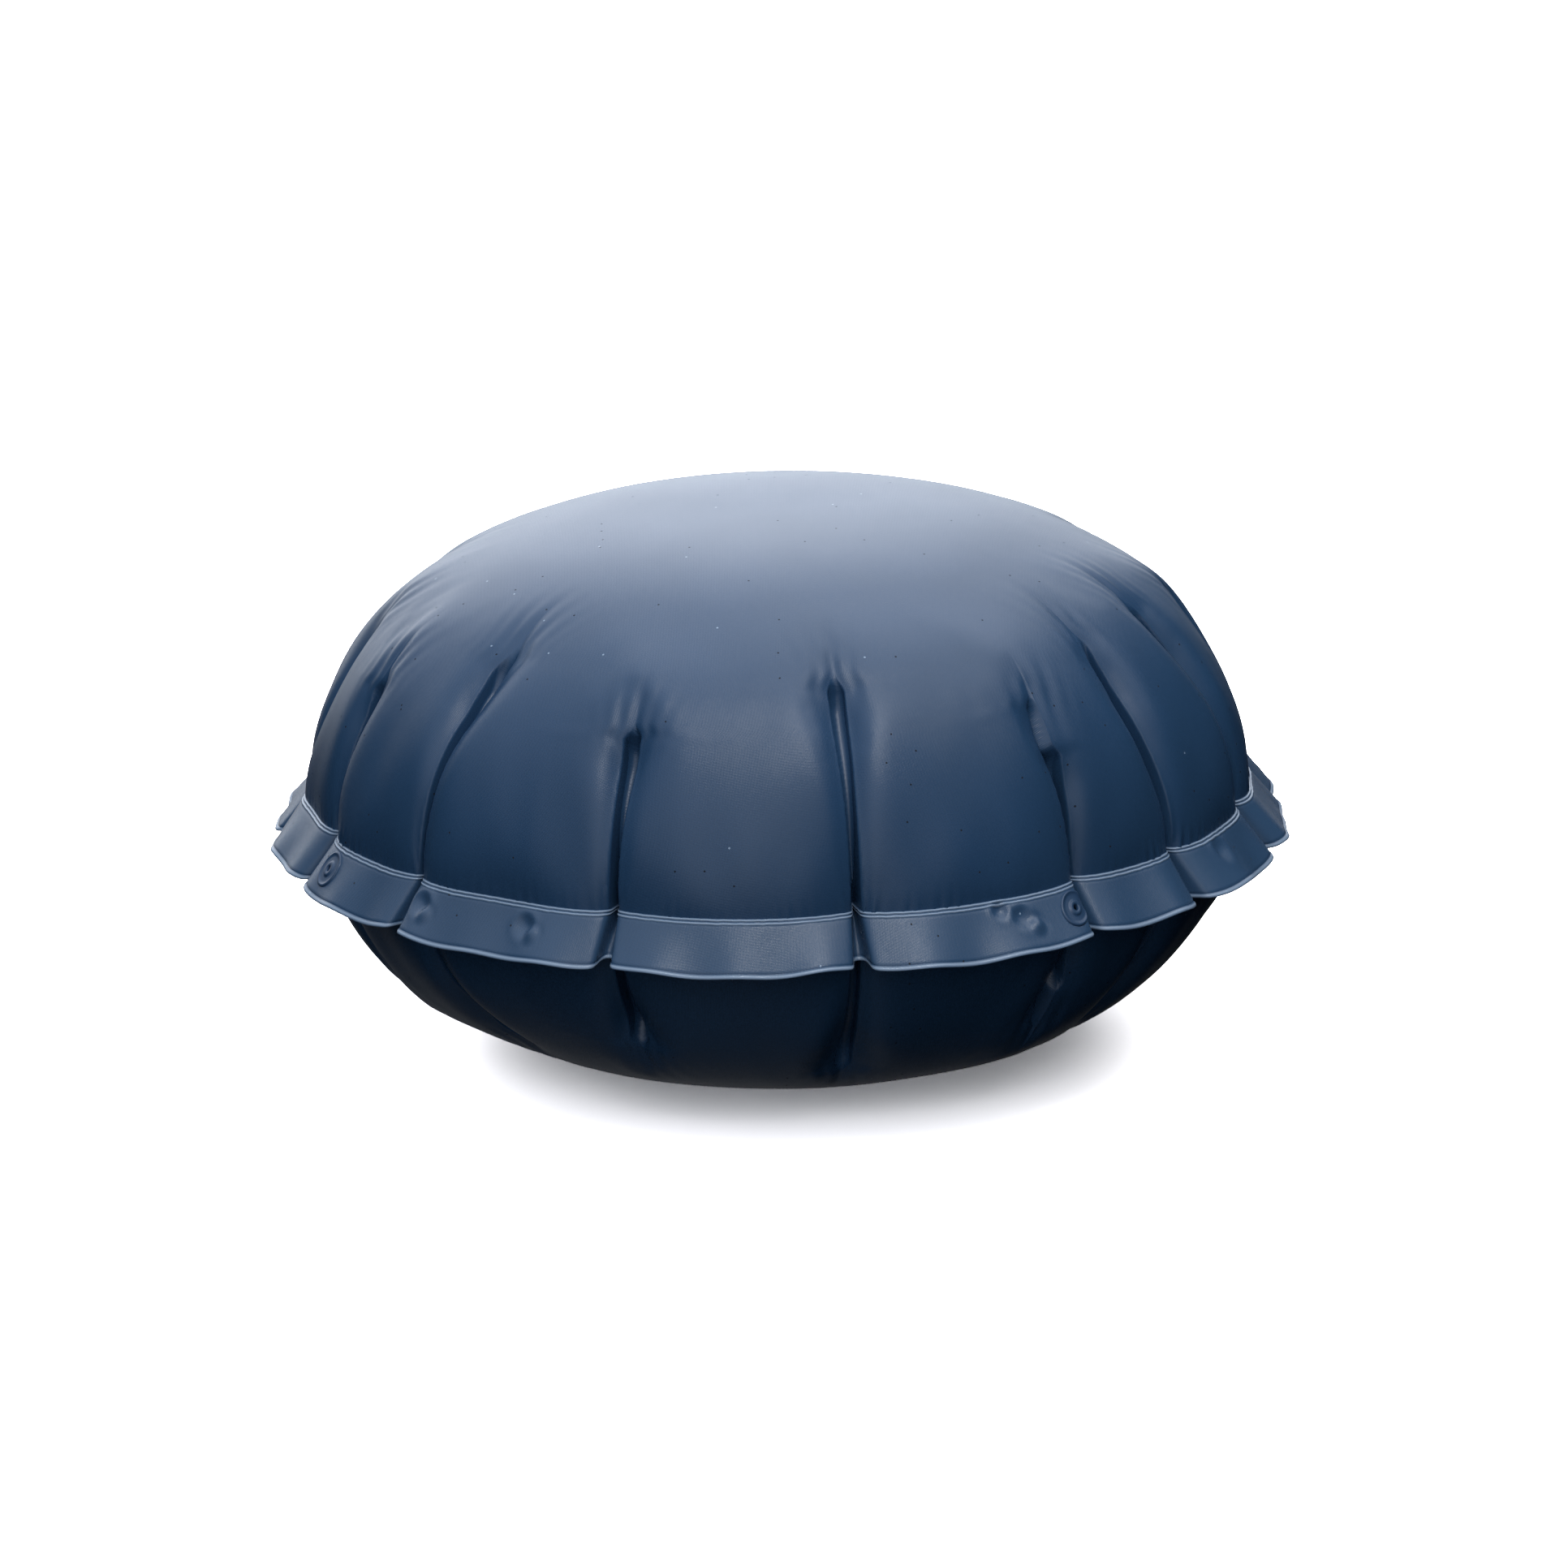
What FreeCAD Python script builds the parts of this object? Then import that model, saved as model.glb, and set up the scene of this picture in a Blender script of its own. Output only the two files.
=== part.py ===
"""Inflatable air pillow that holds up a spa or pool cover.

Two round vinyl sheets are welded together near their rims and blown up. Outside the airtight
weld their rims are welded into one flat, drooping flange with four tie eyelets. A push-in valve
sits in the top sheet: its wide plug lets the air out, and a capped port with a flap through the
plug lets it in.

Millimetres, +Z up. The origin is on the floor, below the centre of the pillow.
Angles round the pillow are in degrees from +X towards +Y. The front is -Y.
"""
import FreeCAD
import Part
import math
import os

from FreeCAD import Matrix, Placement, Rotation, Vector

# --- driving dimensions -----------------------------------------------------------------------
# sheets
flat_seam_radius = 562.0      # centre to airtight weld, with the sheets laid flat
sheet_thickness = 0.5
crown_height = 251.5          # from the seam to the top of the air chamber
seam_height = 239.0           # of the seam above the floor
rest_radius = 110.0           # flat patch that the pillow rests on

# flange
flange_width = 48.0           # from the airtight weld to the cut edge
flange_droop = 51.0           # degrees below horizontal
weld_line_width = 1.2         # each of the two pressed lines of the airtight weld
weld_line_start = 1.6         # from the seam to the first line
weld_line_pitch = 3.5
edge_weld_width = 6.0         # pressed strip along the cut edge
weld_depth = 0.15             # that each pressed line is sunk into its sheet

# tie eyelets, in two pairs that face each other across the pillow
first_eyelet_angle = 26.0
eyelet_spacing = 98.0         # degrees to the next eyelet
eyelet_radius = 17.5
eyelet_hole_radius = 3.0
eyelet_web = 0.7              # thickness between the rim and the hub
eyelet_rim_height = 1.5
eyelet_rim_width = 2.6
eyelet_hub_radius = 7.0
eyelet_hub_height = 1.9

# valve, in its own frame: z is the sheet's outward normal and x points downhill
valve_angle = 90.0
valve_slope = 42.0            # steepness of the sheet where the valve sits, in degrees
weld_disc_radius = 32.0
weld_disc_thickness = 1.0
socket_bore_radius = 15.5
socket_wall = 2.5
socket_depth = 14.0           # below the sheet
collar_height = 5.0           # above the sheet
collar_wall = 4.5

plug_clearance = 0.1          # all round the plug in its socket
plug_wall = 1.6
plug_disc_overhang = 1.0      # past the collar
plug_disc_thickness = 2.0
plug_disc_gap = 0.05          # between the plug's disc and the collar it rests on
pull_tab_length = 9.0
pull_tab_width = 10.0

port_radius = 8.5             # hole that the air is blown through
port_wall = 2.0
port_depth = 13.0             # of the port below the plug's disc
neck_height = 5.0             # of the port above the plug's disc
neck_taper = 0.7              # how much narrower the neck is at its top

flap_thickness = 0.8
flap_gap = 0.05               # between the flap and the foot of the port

cap_clearance = 0.3           # round the foot of the neck
cap_wall = 1.8
cap_lift = 0.3                # of the cap's skirt above the plug's disc
cap_roof_gap = 0.3            # between the cap's roof and the neck's rim
thumb_tab_length = 4.0
strap_width = 7.0
strap_thickness = 1.4

hinge_pin_radius = 0.9
hinge_clearance = 0.06        # all round the hinge pin
knuckle_wall = 0.9
ear_width = 1.6
ear_gap = 0.25                # on each side of the knuckle

MERIDIAN_STEPS = 12           # stretches between the points that a meridian is drawn through
CUT_LENGTH = 40.0             # reach of a cutting tool on each side of the sheet


# --- sizes worked out from those --------------------------------------------------------------
def drop_from_pole(slope):
    """How far an inflated envelope of radius 1, made from two flat discs, has fallen where its slope is this."""
    steps = 200
    step = slope / steps
    return sum(math.sqrt(math.sin((i + 0.5) * step)) * step / 2 for i in range(steps))


QUARTER_GIRTH = math.gamma(0.25) ** 2 / (4 * math.sqrt(2 * math.pi))   # of that envelope
half_height = drop_from_pole(math.pi / 2)
seam_radius = flat_seam_radius / QUARTER_GIRTH
crown_rise = crown_height / half_height
belly_rise = (seam_height - sheet_thickness) / half_height

droop = math.radians(flange_droop)
along_flange = Vector(math.cos(droop), 0, -math.sin(droop))
off_flange = Vector(math.sin(droop), 0, math.cos(droop))
seam = Vector(seam_radius, 0, seam_height)
Z = Vector(0, 0, 1)

socket_radius = socket_bore_radius + socket_wall
collar_radius = socket_bore_radius + collar_wall
plug_radius = socket_bore_radius - plug_clearance
plug_disc_radius = collar_radius + plug_disc_overhang
plug_disc_low = collar_height + plug_disc_gap
plug_disc_top = plug_disc_low + plug_disc_thickness
port_foot = plug_disc_low - port_depth
port_outer_radius = port_radius + port_wall
neck_top = plug_disc_top + neck_height
cap_low = plug_disc_top + cap_lift
cap_inner_radius = port_outer_radius + cap_clearance
cap_radius = cap_inner_radius + cap_wall
cap_roof_low = neck_top + cap_roof_gap
knuckle_bore_radius = hinge_pin_radius + hinge_clearance
knuckle_radius = knuckle_bore_radius + knuckle_wall
hinge_x = -(cap_radius + knuckle_radius + 0.5)
hinge_z = plug_disc_top + knuckle_radius + cap_lift


# --- shapes shared by several pieces ----------------------------------------------------------
def line(a, b):
    return Part.makeLine(a, b)


def first_point(edge):
    return edge.valueAt(edge.FirstParameter)


def last_point(edge):
    return edge.valueAt(edge.LastParameter)


def outline(points):
    """Straight edges through a run of points."""
    return [line(a, b) for a, b in zip(points, points[1:])]


def revolved(edges, start=0.0, sweep=360.0):
    """Solid made by turning a closed outline in the XZ plane about the pillow's axis."""
    solid = Part.Face(Part.Wire(edges)).revolve(Vector(), Z, sweep)
    solid.rotate(Vector(), Z, start)
    return solid if solid.Volume > 0 else solid.reversed()


def turned(shape, angle):
    copy = shape.copy()
    copy.rotate(Vector(), Z, angle)
    return copy


def disc(radius, low, high):
    """Cylinder on the Z axis."""
    return Part.makeCylinder(radius, high - low, Vector(0, 0, low), Z)


def box(x, width, z):
    """Box between two x and two z values, centred across Y."""
    return Part.makeBox(x[1] - x[0], width, z[1] - z[0], Vector(x[0], -width / 2, z[0]))


def rod(radius, width, x, z):
    """Cylinder across Y, centred on the XZ plane."""
    return Part.makeCylinder(radius, width, Vector(x, -width / 2, z), Vector(0, 1, 0))


# --- meridians of the sheets ------------------------------------------------------------------
def meridian_point(slope, pole, spread, rise, outside):
    """Point of a sheet in the XZ plane, moved outwards from the air chamber along the sheet's normal."""
    wide = seam_radius - spread
    radius = spread + wide * math.sqrt(math.sin(slope))
    normal = Vector(rise * math.sin(slope), 0, wide * math.cos(slope)).normalize()
    return Vector(radius, 0, pole - rise * drop_from_pole(slope)) + normal * outside


def crown_point(slope, outside):
    return meridian_point(slope, seam_height + crown_height, 0.0, crown_rise, outside)


def crown_normal(slope):
    return (crown_point(slope, 1.0) - crown_point(slope, 0.0)).normalize()


def belly_point(slope, outside):
    """The bottom sheet is the same curve upside down, spread by the flat patch in its middle."""
    upright = meridian_point(slope, 0.0, rest_radius, belly_rise, outside)
    return Vector(upright.x, 0, sheet_thickness - upright.z)


def meridian(point_at, outside, rim_direction):
    """Smooth curve from the pole to the seam."""
    slopes = [math.pi / 2 * i / MERIDIAN_STEPS for i in range(MERIDIAN_STEPS + 1)]
    curve = Part.BSplineCurve()
    points = [point_at(slope, outside) for slope in slopes]
    curve.interpolate(Points=points, InitialTangent=Vector(1, 0, 0), FinalTangent=rim_direction)
    return curve.toShape()


def crown_curve(outside):
    return meridian(crown_point, outside, -Z)


def belly_curve(outside):
    return meridian(belly_point, outside, Z)


# --- sheets and flange ------------------------------------------------------------------------
def top_sheet():
    """Crown of the pillow, from its pole to the airtight weld."""
    inner, outer = crown_curve(0.0), crown_curve(sheet_thickness)
    weld, pole = line(last_point(inner), last_point(outer)), line(first_point(outer), first_point(inner))
    return revolved([inner, weld, outer, pole])


def bottom_sheet():
    """Belly of the pillow, with its flat resting patch in the middle."""
    inner, outer = belly_curve(0.0), belly_curve(sheet_thickness)
    patch = [first_point(outer), Vector(), Z * sheet_thickness, first_point(inner)]
    return revolved([inner, line(last_point(inner), last_point(outer)), outer] + outline(patch))


def flange_point(along, offset):
    """Point in the XZ plane, along the flange from the seam and off the plane where the layers meet."""
    return seam + along_flange * along + off_flange * offset


def flange_face(side):
    """Outer face of one layer, from the seam out over the weld lines to the cut edge; side is 1 or -1."""
    full = side * sheet_thickness
    sunk = side * (sheet_thickness - weld_depth)
    bend = sheet_thickness * (1 - side * math.sin(droop)) / math.cos(droop)
    points = [flange_point(bend, full)]
    for number in (0, 1):
        near = weld_line_start + number * weld_line_pitch
        far = near + weld_line_width
        steps = ((near, full), (near, sunk), (far, sunk), (far, full))
        points += [flange_point(along, offset) for along, offset in steps]
    strip = flange_width - edge_weld_width
    return points + [flange_point(strip, full), flange_point(strip, sunk), flange_point(flange_width, sunk)]


def rim_flange():
    """The rims of both sheets, welded flat together outside the air chamber, with the eyelet holes."""
    upper, lower = flange_face(1), flange_face(-1)
    band = revolved(outline(upper + lower[::-1] + upper[:1]))
    for angle in eyelet_angles():
        band = band.cut(turned(eyelet_cylinder(eyelet_hole_radius), angle))
    return band


# --- tie eyelets ------------------------------------------------------------------------------
def eyelet_cylinder(radius):
    centre = flange_point(flange_width / 2, 0.0)
    return Part.makeCylinder(radius, 2 * CUT_LENGTH, centre - off_flange * CUT_LENGTH, off_flange)


def flange_skin(side, height):
    """A stretch of skin on one face of the flange, long enough for one eyelet."""
    half_angle = math.degrees(2 * eyelet_radius / seam_radius)
    low, high = side * sheet_thickness, side * (sheet_thickness + height)
    corners = [flange_point(0, low), flange_point(flange_width, low), flange_point(flange_width, high)]
    corners += [flange_point(0, high), flange_point(0, low)]
    return revolved(outline(corners), -half_angle, 2 * half_angle)


def eyelet(side):
    """Moulded washer welded on one face of the flange: a thin web with a raised rim and hub."""
    ring = eyelet_cylinder(eyelet_radius).cut(eyelet_cylinder(eyelet_radius - eyelet_rim_width))
    web = flange_skin(side, eyelet_web).common(eyelet_cylinder(eyelet_radius))
    rim = flange_skin(side, eyelet_rim_height).common(ring)
    hub = flange_skin(side, eyelet_hub_height).common(eyelet_cylinder(eyelet_hub_radius))
    return web.fuse([rim, hub]).cut(eyelet_cylinder(eyelet_hole_radius)).removeSplitter()


def eyelet_angles():
    pair = (first_eyelet_angle, first_eyelet_angle + eyelet_spacing)
    return [angle + half_turn for half_turn in (0.0, 180.0) for angle in pair]


# --- valve ------------------------------------------------------------------------------------
def valve_placement():
    """From the valve's own frame to its place on the top sheet."""
    slope = math.radians(valve_slope)
    axis, spot = crown_normal(slope), crown_point(slope, sheet_thickness)
    side = Vector(0, 1, 0)
    downhill = side.cross(axis)
    frame = Matrix(downhill.x, side.x, axis.x, spot.x, downhill.y, side.y, axis.y, spot.y,
                   downhill.z, side.z, axis.z, spot.z, 0, 0, 0, 1)
    return Placement(Vector(), Rotation(Z, valve_angle)).multiply(Placement(frame))


def on_pillow(shape):
    copy = shape.copy()
    copy.Placement = valve_placement().multiply(copy.Placement)
    return copy


def in_valve_frame(shape):
    copy = shape.copy()
    copy.Placement = valve_placement().inverse().multiply(copy.Placement)
    return copy


def sheet_skin(thickness):
    """A patch of skin lying on the top sheet round the valve."""
    half_angle = math.degrees(2 * weld_disc_radius / seam_radius)
    inner, outer = crown_curve(sheet_thickness), crown_curve(sheet_thickness + thickness)
    ends = [line(last_point(inner), last_point(outer)), line(first_point(outer), first_point(inner))]
    return revolved([inner, ends[0], outer, ends[1]], valve_angle - half_angle, 2 * half_angle)


def crown_filled():
    """The top sheet and all the air under it, as one solid."""
    outer = crown_curve(sheet_thickness)
    foot = Vector(0, 0, last_point(outer).z)
    return revolved([outer, line(last_point(outer), foot), line(foot, first_point(outer))])


def valve_base():
    """Weld disc that follows the sheet, a collar outside it and the socket going down inside."""
    weld_disc = in_valve_frame(sheet_skin(weld_disc_thickness))
    weld_disc = weld_disc.common(disc(weld_disc_radius, -CUT_LENGTH, CUT_LENGTH))
    collar = disc(collar_radius, -socket_depth, collar_height).cut(in_valve_frame(crown_filled()))
    socket = disc(socket_radius, -socket_depth, collar_height)
    bore = disc(socket_bore_radius, -CUT_LENGTH, CUT_LENGTH)
    return weld_disc.fuse([collar, socket]).cut(bore).removeSplitter()


def hinge_ears():
    """Two ears on the plug's disc with the pin between them that the cap turns about."""
    reach = strap_width / 2 + ear_gap
    pin = rod(hinge_pin_radius, 2 * (reach + ear_width), hinge_x, hinge_z)
    span = (hinge_x - knuckle_radius, hinge_x + knuckle_radius)
    post = box(span, 2 * (reach + ear_width), (plug_disc_top, hinge_z))
    head = rod(knuckle_radius, 2 * (reach + ear_width), hinge_x, hinge_z)
    slot = box((hinge_x - CUT_LENGTH, hinge_x + CUT_LENGTH), 2 * reach, (plug_disc_top, CUT_LENGTH))
    return post.fuse(head).cut(slot).fuse(pin)


def valve_plug():
    """Wide stopper that lets the air out fast when it is pulled, with the port through it."""
    plug = disc(plug_radius, -socket_depth, plug_disc_low)
    hollow = disc(plug_radius - plug_wall, -CUT_LENGTH, plug_disc_low)
    top = disc(plug_disc_radius, plug_disc_low, plug_disc_top)
    tab_ends = (plug_disc_radius - pull_tab_length / 3, plug_disc_radius + pull_tab_length)
    tab = box(tab_ends, pull_tab_width, (plug_disc_low, plug_disc_top))
    neck_foot = Vector(0, 0, plug_disc_top)
    neck = Part.makeCone(port_outer_radius, port_outer_radius - neck_taper, neck_height, neck_foot, Z)
    stem = disc(port_outer_radius, port_foot, plug_disc_low)
    bore = disc(port_radius, -CUT_LENGTH, CUT_LENGTH)
    whole = plug.cut(hollow).fuse([top, tab, neck, stem, hinge_ears()])
    return whole.cut(bore).removeSplitter()


def check_flap():
    """Soft disc under the port, hung from one edge, that the pressure inside holds shut."""
    top = port_foot - flap_gap
    return disc(port_outer_radius, top - flap_thickness, top)


def valve_cap():
    """Small cap over the port's neck, with a thumb tab in front and a strap to its hinge knuckle."""
    roof_top = cap_roof_low + cap_wall
    skirt = disc(cap_radius, cap_low, roof_top).cut(disc(cap_inner_radius, cap_low, cap_roof_low))
    tab = box((cap_radius - cap_wall, cap_radius + thumb_tab_length), strap_width,
              (roof_top - strap_thickness, roof_top))
    strap = box((hinge_x, cap_wall / 2 - cap_radius), strap_width,
                (hinge_z + knuckle_radius - strap_thickness, hinge_z + knuckle_radius))
    knuckle = rod(knuckle_radius, strap_width, hinge_x, hinge_z)
    bore = rod(knuckle_bore_radius, strap_width, hinge_x, hinge_z)
    return skirt.fuse([tab, strap, knuckle]).cut(bore).removeSplitter()


# --- all the pieces ---------------------------------------------------------------------------
def build():
    opening = on_pillow(disc(socket_radius, -CUT_LENGTH, CUT_LENGTH))
    pieces = {"top_sheet": top_sheet().cut(opening), "bottom_sheet": bottom_sheet(), "rim_flange": rim_flange()}
    for face, side in (("upper", 1), ("lower", -1)):
        washer = eyelet(side)
        for number, angle in enumerate(eyelet_angles(), 1):
            pieces[f"tie_eyelet_{number}_{face}"] = turned(washer, angle)
    valve_makers = (valve_base, valve_plug, check_flap, valve_cap)
    pieces.update({maker.__name__: on_pillow(maker()) for maker in valve_makers})
    return pieces


os.makedirs("parts", exist_ok=True)
for name, shape in build().items():
    solid = shape.Solids[0] if len(shape.Solids) == 1 else shape
    print(f"{name:20s} solids {len(shape.Solids)}  valid {solid.isValid()}  {solid.Volume / 1000:8.3f} cm3")
    solid.exportStep(f"parts/{name}.step")
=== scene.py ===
# %% [markdown]
# # An air pillow for a pool or spa cover
# Two round sheets of embossed PVC are welded together near their rims and blown up
# through a valve. A flat disc can't become a dome without spare width round its rim, so
# the real pillow gathers into deep folds. This lesson inflates the two flat discs with
# Cloth, welds a drooping flange round them, and adds the eyelets. The frame comes first:
# it brings in the CAD nodes, which every piece stands on.

# %% Frame
import math

import bpy
import numpy as np
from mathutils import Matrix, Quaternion, Vector


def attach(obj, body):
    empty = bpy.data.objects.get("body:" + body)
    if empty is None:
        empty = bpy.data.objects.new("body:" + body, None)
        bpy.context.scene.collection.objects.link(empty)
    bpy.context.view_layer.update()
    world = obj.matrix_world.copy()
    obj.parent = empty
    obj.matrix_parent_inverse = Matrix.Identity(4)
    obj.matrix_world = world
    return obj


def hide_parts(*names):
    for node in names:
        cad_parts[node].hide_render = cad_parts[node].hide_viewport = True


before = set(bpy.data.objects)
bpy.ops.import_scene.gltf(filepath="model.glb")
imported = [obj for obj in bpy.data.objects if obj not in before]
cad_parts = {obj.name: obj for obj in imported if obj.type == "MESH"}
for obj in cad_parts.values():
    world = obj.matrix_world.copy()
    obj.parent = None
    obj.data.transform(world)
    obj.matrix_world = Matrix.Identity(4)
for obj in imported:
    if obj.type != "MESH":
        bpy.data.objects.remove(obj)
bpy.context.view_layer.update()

TAU = 2 * math.pi
MM = 0.001

# %% [markdown]
# The sizes are those of the CAD. A round pillow blown up from two flat discs takes the
# shape of a foil balloon: a disc of radius 562 mm pulls in to 428.7 mm at its weld.

# %% Sizes of the pillow
FLAT_RADIUS = 562 * MM         # centre to weld, with the sheets laid flat
WELD_RADIUS = 428.671 * MM     # the same weld once the pillow is blown up
QUARTER_GIRTH = 1.3110288      # flat radius over welded radius, for this curve
WELD_HEIGHT = 239 * MM         # of the weld above the floor
CROWN_HEIGHT = 251.5 * MM      # of the crown above the weld
FLANGE_WIDTH = 55 * MM         # hanging a little longer than the CAD's 48 mm band
FLANGE_DROOP = math.radians(51)
SHEET = 0.5 * MM               # thickness of one sheet
print("flat width of each sheet", round(2 * (FLAT_RADIUS + 48 * MM), 3), "m")

# %% [markdown]
# Folds don't form evenly. Each one here has its own direction, in degrees from the front,
# and its own start: a late fold begins low on the dome, an early one runs up high.

# %% Where the folds are
FOLDS = [  # (direction in degrees, spare width in mm that it takes to start the fold)
    (-70, 5.0), (-48, 2.0), (-20.3, 6.2), (8.8, 2.8), (37.8, 6.0), (54.5, 1.9),
    (75.5, 1.8), (95, 3.2), (114, 1.6), (132, 4.0), (150, 2.2), (168, 4.6),
    (192, 5.0), (211, 2.0), (231, 4.0), (252, 1.9), (271, 3.2)]
fold_turns = np.radians([(direction - 90) % 360 for direction, _ in FOLDS])
fold_order = np.argsort(fold_turns)
fold_turns = fold_turns[fold_order]
fold_delay = np.array([late for _, late in FOLDS])[fold_order] * MM
print("folds", len(fold_turns))

# %% [markdown]
# The foil balloon's outline has no simple formula for height, so it is added up in small
# steps from the centre of the sheet to the weld.

# %% Outline of a round air pillow
bend = np.linspace(0, math.pi / 2, 4001)
outline_radius = np.sin(bend)
flatness = np.sqrt(np.maximum(1 - outline_radius ** 4, 1e-15))
arc_rate = np.cos(bend) / flatness
arc_rate[-1] = arc_rate[-2]
drop_rate = outline_radius ** 2 * arc_rate


def added_up(rate):
    """The running total of rate along bend."""
    return np.concatenate([[0], np.cumsum((rate[1:] + rate[:-1]) / 2 * np.diff(bend))])


outline_arc = added_up(arc_rate)
outline_drop = added_up(drop_rate)
HALF_HEIGHT = outline_drop[-1] * WELD_RADIUS
outline_arc *= QUARTER_GIRTH / outline_arc[-1]
print("half height", round(HALF_HEIGHT / MM, 1), "mm")

# %% [markdown]
# The simulation starts from a shape that is already folded: every lobe lies on the
# outline, and the width it has to spare is tucked inwards, half at each side. A few slow
# waves keep the lobes from being copies.

# %% Folded start
rng = np.random.default_rng(3)
waves = [(rng.integers(14, 60), rng.uniform(0, TAU), rng.normal()) for _ in range(24)]
TUCKED_SHARE = 0.95     # of the spare width; puckers take the rest
SHOULDER_WIDTH = 17 * MM
TIP_DEPTH = 12 * MM     # added to the depth of a fold at its tip
ROUNDING = 5 * MM       # of a lobe's edge where it turns into a fold
ROUNDING_WIDTH = 10 * MM
WAVE_HEIGHT = 0.5 * MM


def eased(value):
    """Runs from 0 to 1 with a soft start and a soft end."""
    value = np.clip(value, 0, 1)
    return value * value * (3 - 2 * value)


def mouth(late):
    """Half the gap of a fold: widest just below its tip, narrower towards the weld."""
    return (4.6 + 2.8 * np.exp(-(late / MM / 8) ** 2)) * MM * eased(late / (1 * MM))


def shoulder(late):
    """How far the lobes sink towards a fold, most at its tip."""
    spread = np.where(late < 3 * MM, 2.8, 8.5)
    return 8 * MM * np.exp(-((late / MM - 3) / spread) ** 2)


def folded_start(reach, turns, side, crisp=False):
    """Places points of a flat disc, at that reach from its centre, on the folded pillow.

    Crisp folds open faster and are deeper at the tip than the cloth's triangles can follow.
    """
    arc = reach / WELD_RADIUS
    radius = np.interp(arc, outline_arc, outline_radius)
    height = (outline_drop[-1] - np.interp(arc, outline_arc, outline_drop)) * WELD_RADIUS
    out, up = radius ** 2, math.sqrt(max(1 - radius ** 4, 0))
    radius *= WELD_RADIUS
    turns = np.mod(turns, TAU)
    after = np.searchsorted(fold_turns, turns, side="right")
    before = after - 1
    first = np.where(before < 0, fold_turns[-1] - TAU, fold_turns[before])
    last = np.where(after == len(fold_turns), fold_turns[0] + TAU, fold_turns[after % len(fold_turns)])
    width = reach * (last - first)
    spare = np.maximum(width - radius * (last - first), 0) * TUCKED_SHARE / 2
    late_first, late_last = spare - fold_delay[before], spare - fold_delay[after % len(fold_turns)]
    opening = 1.6 * MM if crisp else 5 * MM
    tuck_first, tuck_last = [spare * eased(late / opening) for late in (late_first, late_last)]
    at_tip = crisp * TIP_DEPTH / np.maximum(spare, 1 * MM)
    gain_first, gain_last = [1 + at_tip * np.exp(-np.abs(late) / (8 * MM)) for late in (late_first, late_last)]
    along = (turns - first) * reach
    lobe = np.maximum(width - tuck_first - tuck_last, 1e-9)
    share = np.clip((along - tuck_first) / lobe, 0, 1)
    mouth_first, mouth_last = [mouth(late) / max(radius, 1e-6) for late in (late_first, late_last)]
    place = first + mouth_first + share * np.maximum(last - first - mouth_first - mouth_last, 0)
    depth = np.clip(tuck_first - along, 0, None) * gain_first
    depth = depth + np.clip(along - (width - tuck_last), 0, None) * gain_last
    for late, away in ((late_first, share), (late_last, 1 - share)):
        depth = depth + shoulder(late) * np.exp(-(away * lobe / SHOULDER_WIDTH) ** 1.5)
        depth = depth + ROUNDING * eased(late / (4 * MM)) * np.exp(-(away * lobe / ROUNDING_WIDTH) ** 1.5)
    wave = sum(rise * np.sin(count * turns + phase + 3 * np.sin(20 * reach + phase))
               for count, phase, rise in waves)
    depth = depth + wave / 5 * WAVE_HEIGHT * min(reach / FLAT_RADIUS, 1) ** 3
    flat = np.stack([np.cos(place), np.sin(place)], -1) * (radius - depth * out)[:, None]
    return np.column_stack([flat, side * (height - depth * up)])


start_rim = folded_start(FLAT_RADIUS, np.linspace(0, TAU, 720), 1)
print("folded rim is", round(2 * float(np.hypot(start_rim[:, 0], start_rim[:, 1]).max()), 3), "m wide")


# %% [markdown]
# The cloth mesh is made of rings round the centre, six points more in each, so that all
# triangles are about the same size. The two discs share the ring at the weld.

# %% Discs of rings
def turns_of(count):
    return np.arange(count) / count * TAU


def stitched(inner, outer):
    """Triangles or quads that join one ring of vertex numbers to the next."""
    few, many = len(inner), len(outer)
    if few == 1:
        return [(inner[0], outer[j], outer[(j + 1) % many]) for j in range(many)]
    if few == many:
        return [(inner[j], outer[j], outer[(j + 1) % many], inner[(j + 1) % few]) for j in range(few)]
    faces = []
    i = j = 0
    while i < few or j < many:
        if j < many and (i >= few or (j + 1) * few <= (i + 1) * many):
            faces.append((inner[i % few], outer[j], outer[(j + 1) % many]))
            j += 1
        else:
            faces.append((inner[i], outer[j % many], inner[(i + 1) % few]))
            i += 1
    return faces


RINGS = 44
step = FLAT_RADIUS / RINGS


def discs():
    """Start points, flat points, faces and ring numbers of the two discs."""
    start, flat, faces, rings = [], [], [], {}
    for side in (1, -1):
        for ring in range(RINGS + (side > 0)):
            turns = turns_of(6 * ring or 1)
            first = sum(len(points) for points in start)
            rings[side, ring] = list(range(first, first + len(turns)))
            start.append(folded_start(ring * step, turns, side))
            flat.append(np.column_stack([np.cos(turns), np.sin(turns), 0 * turns]) * ring * step)
    rings[-1, RINGS] = rings[1, RINGS]
    for side in (1, -1):
        for ring in range(RINGS):
            new = stitched(rings[side, ring], rings[side, ring + 1])
            faces += new if side > 0 else [face[::-1] for face in new]
    return np.concatenate(start), np.concatenate(flat), faces, rings


start_points, flat_points, disc_faces, disc_rings = discs()
print("cloth points", len(start_points))

# %% [markdown]
# Cloth has to know how long every thread is when the sheet lies flat. A shape key holds
# the flat discs and is switched on one frame after the start. With Dynamic Mesh the rest
# lengths follow the key, while the moving points go on from the folded start. Pressure
# then fills the lobes, and the spare width wrinkles as real vinyl does.

# %% Inflating with Cloth
INFLATE_FRAMES = 24
WRINKLE_REACH = 350 * MM
WRINKLE_SHARE = 0.35


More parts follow.
